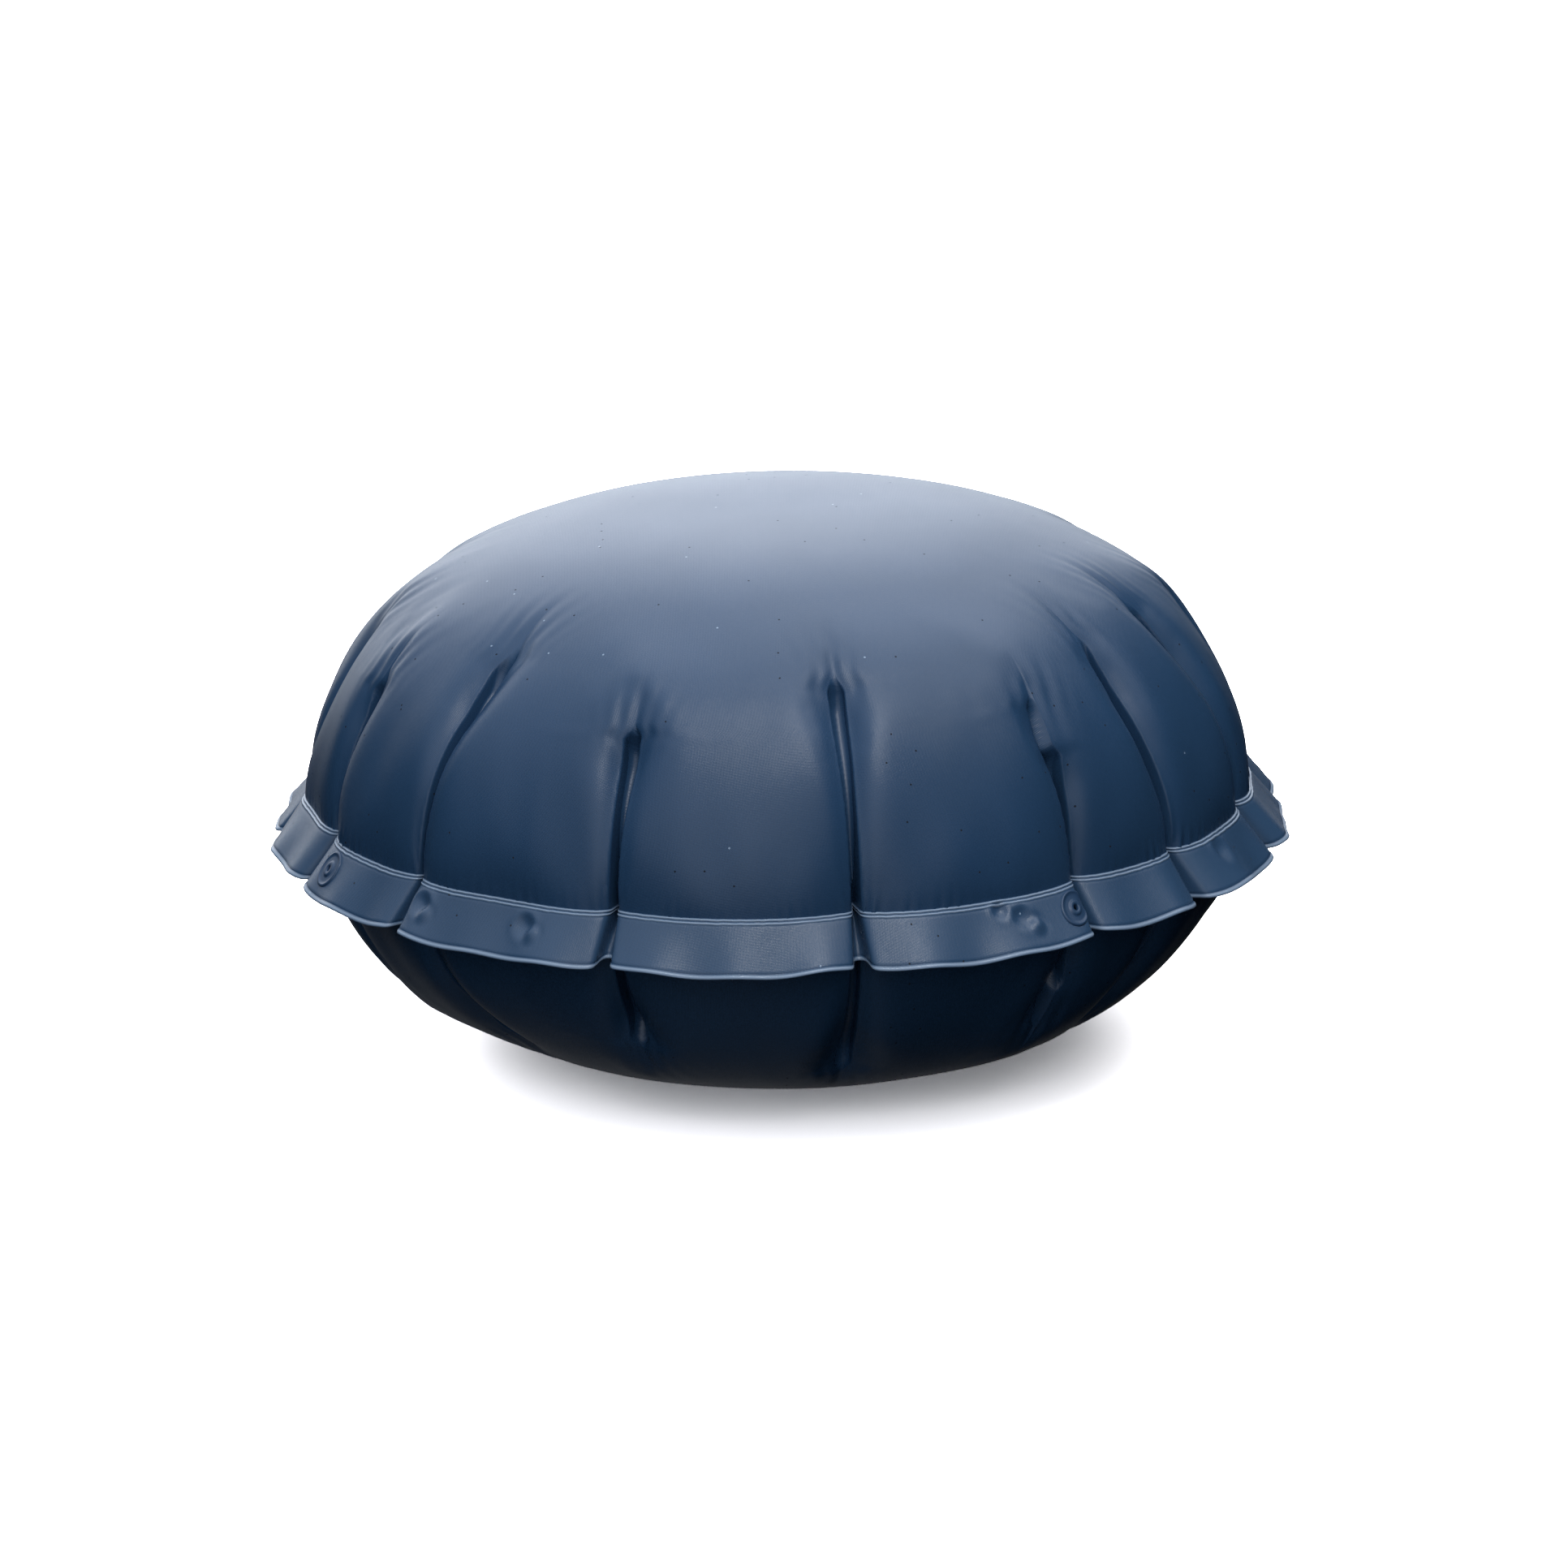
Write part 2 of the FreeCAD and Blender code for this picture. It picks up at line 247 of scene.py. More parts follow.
def inflated():
    """The disc points after the pillow is blown up."""
    mesh = bpy.data.meshes.new("air_chamber")
    mesh.from_pydata(start_points.tolist(), [], disc_faces)
    chamber = bpy.data.objects.new("air_chamber", mesh)
    bpy.context.scene.collection.objects.link(chamber)
    chamber.shape_key_add(name="Basis")
    laid_flat = chamber.shape_key_add(name="laid flat")
    laid_flat.data.foreach_set("co", flat_points.ravel())
    for frame_number, value in ((1, 0), (2, 1)):
        laid_flat.value = value
        laid_flat.keyframe_insert("value", frame=frame_number)
    cloth = chamber.modifiers.new("inflate", "CLOTH")
    vinyl = cloth.settings
    vinyl.quality = 10
    vinyl.mass = 0.01
    vinyl.air_damping = 2
    vinyl.tension_stiffness = 600
    vinyl.compression_stiffness = 120
    vinyl.shear_stiffness = 300
    vinyl.bending_stiffness = 60
    vinyl.use_dynamic_mesh = True
    vinyl.use_pressure = True
    vinyl.uniform_pressure_force = 100
    vinyl.effector_weights.gravity = 0
    weld = chamber.vertex_groups.new(name="weld")
    weld.add(disc_rings[1, RINGS], 1.0, "REPLACE")
    weld.add(disc_rings[1, RINGS - 1] + disc_rings[-1, RINGS - 1], 0.5, "REPLACE")
    vinyl.vertex_group_bending = "weld"
    vinyl.bending_stiffness_max = 300
    cloth.collision_settings.use_collision = False
    cloth.collision_settings.use_self_collision = False
    cloth.point_cache.frame_start = 1
    cloth.point_cache.frame_end = INFLATE_FRAMES + 1
    scene = bpy.context.scene
    for frame_number in range(1, INFLATE_FRAMES + 2):
        scene.frame_set(frame_number)
    graph = bpy.context.evaluated_depsgraph_get()
    moved = chamber.evaluated_get(graph).data
    points = np.empty(len(moved.vertices) * 3)
    moved.vertices.foreach_get("co", points)
    bpy.data.objects.remove(chamber)
    scene.frame_set(1)
    return points.reshape(-1, 3)


blown = inflated()
print("half height", blown[:, 2].max().round(4))

# %% [markdown]
# The start has crisp, straight folds but no life, and the cloth has life but also crinkles
# as small as its own triangles. So the cloth's movement from the start is evened out
# between neighbours: strongly by the folds and the weld, lightly where wrinkles fan out.

# %% Keeping the broad wrinkles
sides = {tuple(sorted(pair)) for face in disc_faces for pair in zip(face, face[1:] + face[:1])}
neighbours = np.array(sorted(sides))
links = np.bincount(neighbours.ravel(), minlength=len(start_points))[:, None]


def evened(field, rounds):
    """Mixes every point's value with its neighbours', that many times."""
    for _ in range(rounds):
        around = np.zeros_like(field)
        np.add.at(around, neighbours[:, 0], field[neighbours[:, 1]])
        np.add.at(around, neighbours[:, 1], field[neighbours[:, 0]])
        field = (field + around / links) / 2
    return field


moved = blown - start_points
outward = start_points * [1, 1, 0]
outward /= np.maximum(np.linalg.norm(outward, axis=1), 1e-9)[:, None]
# movement round the pillow is left out, as it would shift the folds
swell = outward * (moved * outward).sum(1)[:, None] + moved * [0, 0, 1]
broad = evened(swell, 14)
flat_reach = np.linalg.norm(flat_points, axis=1)[:, None]
fan = np.exp(-((flat_reach - WRINKLE_REACH) / (75 * MM)) ** 2)
movement = broad + WRINKLE_SHARE * fan * (evened(swell, 1) - evened(swell, 14))
weld_reach = np.linalg.norm((start_points + movement)[disc_rings[1, RINGS]][:, :2], axis=1)
print("weld radius", np.percentile(weld_reach, 90).round(4))

# %% [markdown]
# The blown shape is fitted to the CAD: the weld to its radius, the crown and the belly
# each to their height. The belly is pushed 3 mm low and pressed flat on the floor.

# %% Fitting to the frame
PRESSED = 3 * MM
blown = start_points + movement
spread = 1.008 * WELD_RADIUS / np.percentile(weld_reach, 90)
rises = {1: CROWN_HEIGHT / blown[:, 2].max(), -1: (WELD_HEIGHT + PRESSED) / -blown[:, 2].min()}


def fitted(points, side):
    points = points * [spread, spread, rises[side]]
    points[:, 2] += WELD_HEIGHT
    return points


def pressed_flat(height, soft=2 * MM):
    """Rounds heights off to stay above the floor."""
    return (height + np.sqrt(height ** 2 + soft ** 2)) / 2


print("spread", round(float(spread), 3), "rises", {side: round(float(rise), 3) for side, rise in rises.items()})


# %% [markdown]
# The cloth's triangles are too big for a sharp fold. The fine mesh is therefore laid on
# the folded start itself, and moved as the cloth next to it moved, read off the cloth's
# rings with a curve through four points each way.

# %% Finer rings
def curve_through(p, t):
    """Catmull-Rom curve between the second and third of four points."""
    return 0.5 * (2 * p[1] + (p[2] - p[0]) * t + (2 * p[0] - 5 * p[1] + 4 * p[2] - p[3]) * t ** 2
                  + (3 * (p[1] - p[2]) + p[3] - p[0]) * t ** 3)


def round_ring(ring, turns):
    """Points at those turns on a closed ring of evenly turned points."""
    spot = np.mod(turns / TAU, 1) * len(ring)
    whole = np.floor(spot).astype(int)
    return curve_through([ring[(whole + k) % len(ring)] for k in (-1, 0, 1, 2)], (spot - whole)[:, None])


def on_sheet(side, reach, turns):
    """Points of a fitted sheet at that flat reach from its centre."""
    spot = min(reach / step, RINGS - 1e-9)
    whole = int(spot)

    def ring(number):
        if number < 0:
            return round_ring(movement[disc_rings[side, -number]], turns + math.pi)
        if number > RINGS:
            return 2 * ring(RINGS) - ring(RINGS - 1)
        return round_ring(movement[disc_rings[side, number]], turns)
    shift = curve_through([ring(whole + k) for k in (-1, 0, 1, 2)], spot - whole)
    return fitted(folded_start(reach, turns, side, crisp=True) + shift, side)


# %% [markdown]
# Over each lobe the welded rim is stiff and stands in one smooth curve, so a polynomial is
# fitted to it there. Between lobes it goes straight in to the bottom of the fold and out.

# %% Smooth weld line
WELD_POINTS = 1536
weld_turns = turns_of(WELD_POINTS)
cloth_weld = on_sheet(1, FLAT_RADIUS, weld_turns)


def smooth_weld():
    line = cloth_weld.copy()
    for k, first in enumerate(fold_turns):
        last = fold_turns[(k + 1) % len(fold_turns)] + (TAU if k + 1 == len(fold_turns) else 0)
        spare = (FLAT_RADIUS - WELD_RADIUS) * (last - first) * TUCKED_SHARE / 2 / FLAT_RADIUS
        ends = first + spare, last - spare
        t = np.linspace(-1, 1, 41)
        lobe = round_ring(cloth_weld, (ends[0] + ends[1]) / 2 + t * (ends[1] - ends[0]) / 2)
        shape = [np.polynomial.Polynomial.fit(t, lobe[:, axis], 4) for axis in range(3)]
        valley = [round_ring(cloth_weld, np.array([turn]))[0] for turn in (first, last)]
        for start, end, from_end in ((first, ends[0], -1), (ends[1], last, 1)):
            shore = np.array([curve(from_end) for curve in shape])
            low = valley[0] if from_end < 0 else valley[1]
            inside = np.where(np.mod(weld_turns - start, TAU) <= end - start)[0]
            share = (np.mod(weld_turns[inside] - start, TAU) / (end - start))[:, None]
            line[inside] = low + (shore - low) * share if from_end < 0 else shore + (low - shore) * share
        inside = np.where(np.mod(weld_turns - ends[0], TAU) <= ends[1] - ends[0])[0]
        along = np.mod(weld_turns[inside] - ends[0], TAU) / (ends[1] - ends[0]) * 2 - 1
        line[inside] = np.column_stack([curve(along) for curve in shape])
    for _ in range(5):
        line = (np.roll(line, 1, 0) + 2 * line + np.roll(line, -1, 0)) / 4
    return line


weld_curve = smooth_weld()
weld_shift = weld_curve - cloth_weld
print("weld moved", (np.linalg.norm(weld_shift, axis=1).mean() / MM).round(1), "mm on average")

# %% [markdown]
# Just above the weld the real sheet is drawn into short upright puckers, 9 to 15 mm
# apart, and short gathers fan out above the tip of every fold. Both are too fine for the
# cloth, so they are added as small waves that soon die away.

# %% Puckers at the weld
PUCKER_HEIGHT = 1.6 * MM
pucker_waves = [(rng.integers(240, 400), rng.uniform(0, TAU), rng.uniform(0.4, 1)) for _ in range(14)]
pucker_swell = [(rng.integers(9, 60), rng.uniform(0, TAU)) for _ in range(9)]


def waves_round(turns, parts):
    return sum(part[-1] * np.sin(part[0] * turns + part[1]) for part in parts) / math.sqrt(len(parts))


def puckers(turns, from_weld):
    """Height of the puckers, in metres."""
    strength = np.clip(0.6 + 0.3 * sum(np.sin(k * turns + p) for k, p in pucker_swell) / 3, 0, 1.2)
    fading = math.exp(-(from_weld / (11 * MM)) ** 1.4)
    return PUCKER_HEIGHT * strength * waves_round(turns, pucker_waves) * fading


def fold_tips():
    """Reach of the tip of every fold: where the spare width first passes its delay."""
    reach = np.linspace(0.4, 1, 1201) * FLAT_RADIUS
    spare = reach - np.interp(reach / WELD_RADIUS, outline_arc, outline_radius) * WELD_RADIUS
    lobes = (np.roll(fold_turns, -1) - fold_turns) % TAU
    widths = (lobes + np.roll(lobes, 1)) / 2
    return [float(np.interp(delay, spare * width * TUCKED_SHARE / 2, reach))
            for delay, width in zip(fold_delay, widths)]


tips = fold_tips()
gather_shapes = [(rng.uniform(14, 19), rng.uniform(-0.6, 0.6), rng.uniform(0.7, 1.1)) for _ in tips]


def gathers(turns, reach):
    """Height of the short, straight gathers that run up from the tip of every fold."""
    height = 0 * turns
    for fold, tip, (pitch, lean, rise) in zip(fold_turns, tips, gather_shapes):
        aside = ((turns - fold + math.pi) % TAU - math.pi) * reach / MM
        up = (tip - reach) / MM
        reach_share = math.exp(-((up - 14) / 40) ** 2)
        wave = -np.cos(TAU * aside / (pitch * (1 + max(up, 0) / 150)) + lean * up / 40)
        height = height + rise * wave * reach_share * np.exp(-(aside / 34) ** 2)
    return height * MM


print("highest fold tip", round(min(tips) / MM), "mm from the centre, lowest", round(max(tips) / MM), "mm")

# %% [markdown]
# Each sheet becomes a fine mesh. Rings are close together near the weld and wide apart at
# the centre, and points crowd at the folds. Every point also keeps its place on the flat
# sheet, in metres, as the attribute cut: the embossing is rolled in before the sheet is
# cut, so it follows that.

# %% Mesh of one sheet
TAUT_REACH = 225 * MM     # where the folds' influence ends
TAUT_EASE = 115 * MM      # over which it fades


def mesh_piece(name, points, faces, cut):
    mesh = bpy.data.meshes.new(name)
    mesh.from_pydata(points.tolist(), [], faces)
    kept = mesh.attributes.new("cut", "FLOAT_VECTOR", "POINT")
    kept.data.foreach_set("vector", cut.astype(np.float32).ravel())
    mesh.polygons.foreach_set("use_smooth", [True] * len(mesh.polygons))
    mesh.update()
    piece = bpy.data.objects.new(name, mesh)
    bpy.context.scene.collection.objects.link(piece)
    return piece


def eased_to_plain(ring, reach, side):
    """Near the centre, where the real sheet is taut, ring eases into the plain outline."""
    arc = reach / WELD_RADIUS
    radius = np.interp(arc, outline_arc, outline_radius) * WELD_RADIUS
    height = 1 - np.interp(arc, outline_arc, outline_drop) / outline_drop[-1]
    azimuth = np.arctan2(ring[:, 1], ring[:, 0])
    rise = CROWN_HEIGHT if side > 0 else -(WELD_HEIGHT + PRESSED)
    level = 0 * azimuth + WELD_HEIGHT + height * rise
    plain = np.column_stack([radius * np.cos(azimuth), radius * np.sin(azimuth), level])
    share = eased((TAUT_REACH + TAUT_EASE - reach) / TAUT_EASE)
    return ring * (1 - share) + plain * share


turn_grid = np.linspace(0, TAU, 16385)
from_fold = np.abs((turn_grid[:, None] - fold_turns + math.pi) % TAU - math.pi) * 500 * MM
crowding = np.concatenate([[0], np.cumsum(1 + 3 * np.exp(-(from_fold[1:] / (22 * MM)) ** 2).sum(1))])
crowding *= TAU / crowding[-1]


def denser(turns):
    """Moves evenly spread turns so that more of them fall on the folds."""
    return np.interp(turns, crowding, turn_grid)


def ring_plan(zones):
    """(reach, count) from the centre out; zones are (outer reach, spacing, count) in mm."""
    plan, reach = [(0, 1)], 0
    for outer, spacing, count in zones:
        steps = max(1, round((outer - reach) / spacing))
        plan += [((reach + (outer - reach) * (k + 1) / steps) * MM, count) for k in range(steps)]
        reach = outer
    return plan


def sheet_rings(side, plan):
    """Points, faces and places on the flat sheet, ring by ring."""
    points, cut, faces, last = [], [], [], None
    total = 0
    for reach, count in plan:
        turns = denser(turns_of(count))
        ring = on_sheet(side, reach, turns)
        ring += round_ring(weld_shift, turns) * math.exp(-((FLAT_RADIUS - reach) / (45 * MM)) ** 2)
        ring = eased_to_plain(ring, reach, side)
        if side < 0:
            ring[:, 2] = pressed_flat(ring[:, 2])
        outward = np.column_stack([np.cos(turns), np.sin(turns), 0 * turns])
        ring += outward * (puckers(turns, FLAT_RADIUS - reach) + gathers(turns, reach))[:, None]
        numbers = list(range(total, total + count))
        total += count
        points.append(ring)
        cut.append(outward * reach + np.array([0, 0, side * 0.01]))
        if last:
            new = stitched(last, numbers)
            faces += new if side > 0 else [face[::-1] for face in new]
        last = numbers
    return np.concatenate(points), faces, np.concatenate(cut)


CROWN_ZONES = [(14, 7, 24), (40, 7, 96), (110, 7, 240), (210, 5.5, 480), (330, 4.6, 768),
               (538, 3.8, 1024), (562, 2.4, 1536)]
BELLY_ZONES = [(14, 7, 24), (40, 8, 96), (110, 9, 240), (210, 7, 480), (330, 6, 768),
               (538, 5, 1024), (562, 3, 1536)]
crown_points, crown_faces, crown_cut = sheet_rings(1, ring_plan(CROWN_ZONES))
belly_points, belly_faces, belly_cut = sheet_rings(-1, ring_plan(BELLY_ZONES))
print("crown faces", len(crown_faces), "belly faces", len(belly_faces))

# %% [markdown]
# The valve is welded to the crown at the back. Round it the sheet is held smooth by the
# weld disc, so the crown eases into the CAD's plain dome there, and is cut away inside
# the socket.

# %% Seat of the valve
VALVE_SLOPE = math.radians(42)
valve_radius = WELD_RADIUS * math.sqrt(math.sin(VALVE_SLOPE))
dome_radius = outline_radius * WELD_RADIUS + SHEET * outline_radius ** 2
dome_height = WELD_HEIGHT + (outline_drop[-1] - outline_drop) * WELD_RADIUS * CROWN_HEIGHT / HALF_HEIGHT
valve_spot = np.array([0, valve_radius, np.interp(valve_radius, dome_radius, dome_height)])
valve_axis = np.array([0, 0.661378, 0.750052])
from_valve = crown_points - valve_spot
from_axis = np.linalg.norm(from_valve - np.outer(from_valve @ valve_axis, valve_axis), axis=1)
from_axis[from_valve @ valve_axis < -0.1] = 1
plain = np.interp(np.linalg.norm(crown_points[:, :2], axis=1), dome_radius, dome_height)
HOLD_REACH = 32 * MM      # radius of the weld disc
SOCKET_REACH = 17 * MM    # inside it the sheet is cut away
hold = 1 - eased((from_axis - HOLD_REACH) / (30 * MM))
crown_points[:, 2] += (plain - crown_points[:, 2]) * hold
crown_faces = [face for face in crown_faces if min(from_axis[list(face)]) > SOCKET_REACH]
print("held points", int((hold > 0).sum()))

# %% [markdown]
# The crown and the belly become two Blender objects, as they are two separate sheets.

# %% Crown and belly
crown = mesh_piece("crown", crown_points, crown_faces, crown_cut)
belly = mesh_piece("belly", belly_points, belly_faces, belly_cut)
print("crown top", round(crown_points[:, 2].max(), 4), "belly bottom", round(belly_points[:, 2].min(), 4))

# %% [markdown]
# The flange is both sheets together, outside the weld. It leaves the weld at a droop of
# about 51 degrees. Along a lobe it is a smooth band, and at each fold it tucks in with the
# weld, as the folded weld gives it no other way to go.

# %% Flange surface
droop_waves = [(rng.integers(12, 60), rng.uniform(0, TAU), rng.uniform(0.3, 1)) for _ in range(8)]
DENTS = [  # (degrees from the front, mm below the weld, size in mm, depth in mm)
    (-45.1, 22, 8, 3.2), (-44, 30, 6, -2), (-30.5, 22, 8, 3), (-29.2, 29, 6, -2),
    (25.5, 11, 6, 3), (28, 21, 8, 3), (29.5, 31, 6, -2.4), (62, 18, 9, 2),
    (103, 20, 9, 2.4), (141, 26, 10, 2), (160, 15, 8, 2.2), (218, 22, 9, 2.4),
    (243, 16, 8, 2), (262, 24, 9, 2.2)]
SQUARED = 0.6           # 1 would leave the bands of the flange with parallel ends


def squared_turn():
    """How far the flange at each weld point turns towards the middle of its lobe."""
    lobe = np.searchsorted(fold_turns, weld_turns) % len(fold_turns)
    last = fold_turns[lobe] + TAU * (weld_turns > fold_turns[-1])
    first = fold_turns[lobe - 1] - TAU * (lobe == 0) + TAU * (weld_turns > fold_turns[-1])
    turn = SQUARED * ((first + last) / 2 - weld_turns)
    for _ in range(12):
        turn = (np.roll(turn, 1) + 2 * turn + np.roll(turn, -1)) / 4
    return turn[:, None]


weld_squared = squared_turn()


def flange_at(turns, along):
    """Points of the flange's mid-plane at that distance from the weld, and its normals."""
    def bare(turns):
        base = round_ring(weld_curve, turns)
        lean = FLANGE_DROOP + math.radians(4.5) * waves_round(turns, droop_waves)
        azimuth = np.arctan2(base[:, 1], base[:, 0]) + round_ring(weld_squared, turns)[:, 0]
        level = np.cos(lean)
        away = np.column_stack([np.cos(azimuth) * level, np.sin(azimuth) * level, -np.sin(lean)])
        return base + away * np.asarray(along)[..., None], away
    point, away = bare(turns)
    sideways = bare(turns + 0.004)[0] - bare(turns - 0.004)[0]
    normal = np.cross(away, sideways)
    normal /= np.linalg.norm(normal, axis=1)[:, None]
    return point, normal


print("flange turns aside by up to", round(math.degrees(np.abs(weld_squared).max()), 1), "degrees")


# %% [markdown]
# The weld is a double line: two beads of vinyl squeezed up by the welding bar. The cut
# edge has one broad bead with a groove above it. Thumb-sized dents show where the flange
# was pressed.

# %% Weld beads and dents
BEADS = [  # (distance from the weld, half width, height) in mm
    (1.0, 0.85, 0.75), (4.3, 0.85, 0.7), (2.65, 0.5, -0.3), (6.2, 0.7, -0.2),
    (50.2, 0.6, -0.5), (52.9, 1.5, 0.55)]
bead_waves = [(rng.integers(60, 500), rng.uniform(0, TAU), rng.uniform(0.3, 1)) for _ in range(20)]


def bead_height(turns, along):
    """Height of the beads at that distance from the weld, in metres."""
    wobble = 0.22 * waves_round(turns, bead_waves)
    height = 0 * turns
    for place, spread, rise in BEADS:
        shift = wobble * (place < 10)
        height = height + rise * (1 + 0.6 * shift) * np.exp(-((along / MM - place - shift) / spread) ** 2)
    return height * MM


FLANGE_MIDDLE = 444 * MM     # radius of the middle of the flange


def dent_depth(point, along):
    """Depth of the thumb dents."""
    azimuth = np.degrees(np.arctan2(point[:, 0], -point[:, 1]))
    depth = 0 * azimuth
    for place, reach, size, deep in DENTS:
        aside = np.radians((azimuth - place + 180) % 360 - 180) * FLANGE_MIDDLE / MM
        down = along / MM - reach
        bowl = np.hypot(aside, down * 0.9) / size
        lip = 0.35 * np.exp(-((bowl - 1.5) / 0.5) ** 2)
        depth = depth + deep * (np.exp(-bowl ** 2) - lip) * (1 + 0.5 * np.tanh(-down / size))
    return depth * MM


TOP_ROWS = [-0.6, 0, 0.4, 0.8, 1.2, 1.6, 2.1, 2.65, 3.2, 3.7, 4.1, 4.5, 5, 5.6, 6.3, 7.2, 9, 11.5,
            14, 17, 20, 23, 26, 29, 32, 35, 38, 41, 44, 47, 49, 49.7, 50.2, 50.7, 51.3, 52, 52.8,
            53.6, 54.3, 54.8, 55]
UNDER_ROWS = [55, 54, 52, 48, 42, 35, 29, 22, 15, 9, 4, 1.5, -0.6]
flange_turns = turns_of(WELD_POINTS)


def flange_row(along, face):
    """One ring of the flange's upper (1) or under (-1) face."""
    point, normal = flange_at(flange_turns, along)
    lift = SHEET * face
    if face > 0:
        lift = lift + bead_height(flange_turns, along)
    if abs(along - FLANGE_WIDTH) < 1e-6:
        lift = lift * 0.5
    return point + normal * (lift - dent_depth(point, along))[:, None]


rows = [(row * MM, 1) for row in TOP_ROWS] + [(row * MM, -1) for row in UNDER_ROWS]
flange_points = np.concatenate([flange_row(along, face) for along, face in rows])
flat_turn = np.column_stack([np.cos(flange_turns), np.sin(flange_turns), 0 * flange_turns])
flange_cut = np.concatenate([flat_turn * (FLAT_RADIUS + along) + np.array([0, 0, face * 0.01])
                             for along, face in rows])
numbered = np.arange(len(rows) * len(flange_turns)).reshape(len(rows), -1)
print("flange rows", len(rows))

# %% [markdown]
# An eyelet is two moulded washers, one on each face, with a rim, a hub and a small hole
# for a cord. It bends with the flange, so each ring of it is laid on the flange surface.

# %% Eyelets
EYELET_REACH = 24 * MM      # from the weld
EYELET_CIRCLE = 444 * MM    # radius of the circle through the eyelets
EYELET_TURNS = [26, 124, 206, 305.5]
WASHER = [  # (radius, height) in mm, from the hole to the outer edge
    (3, 0), (3, 1.4), (3.5, 1.9), (6.2, 1.9), (7, 1.5), (7.4, 0.75), (9, 0.65), (12, 0.65),
    (14.4, 0.75), (14.9, 1.3), (15.6, 1.5), (16.7, 1.35), (17.5, 0.6), (17.6, -0.1)]
SPOKES = 96


def flat_turn_at(azimuth):
    """Turn on the flat sheet whose flange ends up at that azimuth."""
    point, _ = flange_at(flange_turns, EYELET_REACH)
    around = np.arctan2(point[:, 1], point[:, 0])
    off = np.abs((around - azimuth + math.pi) % TAU - math.pi) * EYELET_CIRCLE / MM
    off -= 0.25 * np.hypot(point[:, 0], point[:, 1]) / MM     # of two near turns, the outer one
    return flange_turns[np.argmin(off)]


def on_flange(turn, right, down):
    """Mid-plane points and normals at small distances to the right and down the flange."""
    return flange_at(turn + right / (FLAT_RADIUS + EYELET_REACH), EYELET_REACH + down)


def washer(name, turn, face):
    """One washer laid on the upper (1) or under (-1) face of the flange."""
    spokes = turns_of(SPOKES)
    points, cut = [], []
    for radius, height in WASHER:
        right, down = radius * MM * np.cos(spokes), radius * MM * np.sin(spokes)
        point, normal = on_flange(turn, right, down)
        lift = face * (SHEET * (height != 0) + height * MM) - dent_depth(point, EYELET_REACH + down)
        points.append(point + normal * lift[:, None])
        cut.append(np.column_stack([right, down, 0 * right + face * 0.01]))
    numbers = np.arange(len(WASHER) * SPOKES).reshape(len(WASHER), -1).tolist()
    faces = [quad for inner, outer in zip(numbers, numbers[1:]) for quad in stitched(inner, outer)]
    faces = faces if face < 0 else [quad[::-1] for quad in faces]
    return mesh_piece(name, np.concatenate(points), faces, np.concatenate(cut))


eyelets = {}
hole_centres = []
for number, azimuth in enumerate(EYELET_TURNS, 1):
    turn = flat_turn_at(math.radians(azimuth))
    hole_centres.append(on_flange(turn, np.zeros(1), np.zeros(1))[0][0])
    for face, word in ((1, "upper"), (-1, "lower")):
        eyelets[f"tie_eyelet_{number}_{word}"] = washer(f"eyelet_{number}_{word}", turn, face)
    print("eyelet", number, "at", (hole_centres[-1] / MM).round(1))

# %% [markdown]
# The rows close into one band, top, edge and underside. Under each eyelet a small hole is
# left open. The attribute pressed marks the beads for their gloss and painted highlight.

# %% Flange piece
HOLE_REACH = 4.4 * MM
near_hole = np.min([np.linalg.norm(flange_points - centre, axis=1) for centre in hole_centres], axis=0)
numbered = numbered.tolist()
flange_faces = [quad for inner, outer in zip(numbered, numbered[1:] + numbered[:1])
                for quad in stitched(inner, outer) if min(near_hole[list(quad)]) > HOLE_REACH]
flange = mesh_piece("flange", flange_points, flange_faces, flange_cut)
pressed = np.concatenate([np.clip(bead_height(flange_turns, along) / (0.6 * MM), 0, 1) * (face > 0)
                          for along, face in rows])
marked = flange.data.attributes.new("pressed", "FLOAT", "POINT")
marked.data.foreach_set("value", pressed.astype(np.float32))
print("flange faces", len(flange_faces))

# %% [markdown]
# Now the finishes. Colours are written as sRGB and made linear by one function. One short
# function adds a node, sets it up and links it.

# %% Finish helpers
def srgb(code):
    """Linear RGBA for a six-digit sRGB colour."""
    parts = [int(code[k:k + 2], 16) / 255 for k in (0, 2, 4)]
    return [c / 12.92 if c <= 0.04045 else ((c + 0.055) / 1.055) ** 2.4 for c in parts] + [1]


def node(tree, kind, inputs=(), **settings):
    """Adds a node. inputs maps a socket's name or number to a value or to a socket to link."""
    added = tree.nodes.new("ShaderNode" + kind)
    for key, value in settings.items():
        setattr(added, key, value)
    for key, value in dict(inputs).items():
        if isinstance(value, bpy.types.NodeSocket):
            tree.links.new(value, added.inputs[key])
        else:
            added.inputs[key].default_value = value
    return added


def sum_of(tree, operation, first, second, **settings):
    """The result of one Math node."""
    return node(tree, "Math", {0: first, 1: second}, operation=operation, **settings).outputs[0]


def mixed(tree, factor, first, second):
    """A colour between two others."""
    return node(tree, "Mix", {0: factor, 6: first, 7: second}, data_type="RGBA").outputs[2]


def new_finish(name):
    finish = bpy.data.materials.new(name)
    finish.use_nodes = True
    finish.node_tree.nodes.clear()
    return finish, finish.node_tree


print("vinyl blue in linear light", [round(part, 3) for part in srgb("2F4F73")])


# %% [markdown]
# Calendered PVC sheet is coloured through, so wear shows only as a change of gloss. A
# roller leaves a fine slanting weave about 1.5 mm from ridge to ridge. A little dust and
# a few dark specks sit on it.

# %% Embossed PVC sheet
WEAVE_PITCH = 2.1 * MM
# the last colour is a painted highlight on the weld beads
DARK_SPECK, DUST_SPECK, BEAD_PAINTED_HIGHLIGHT = "16202E", "8FA6C0", "A3B9D2"


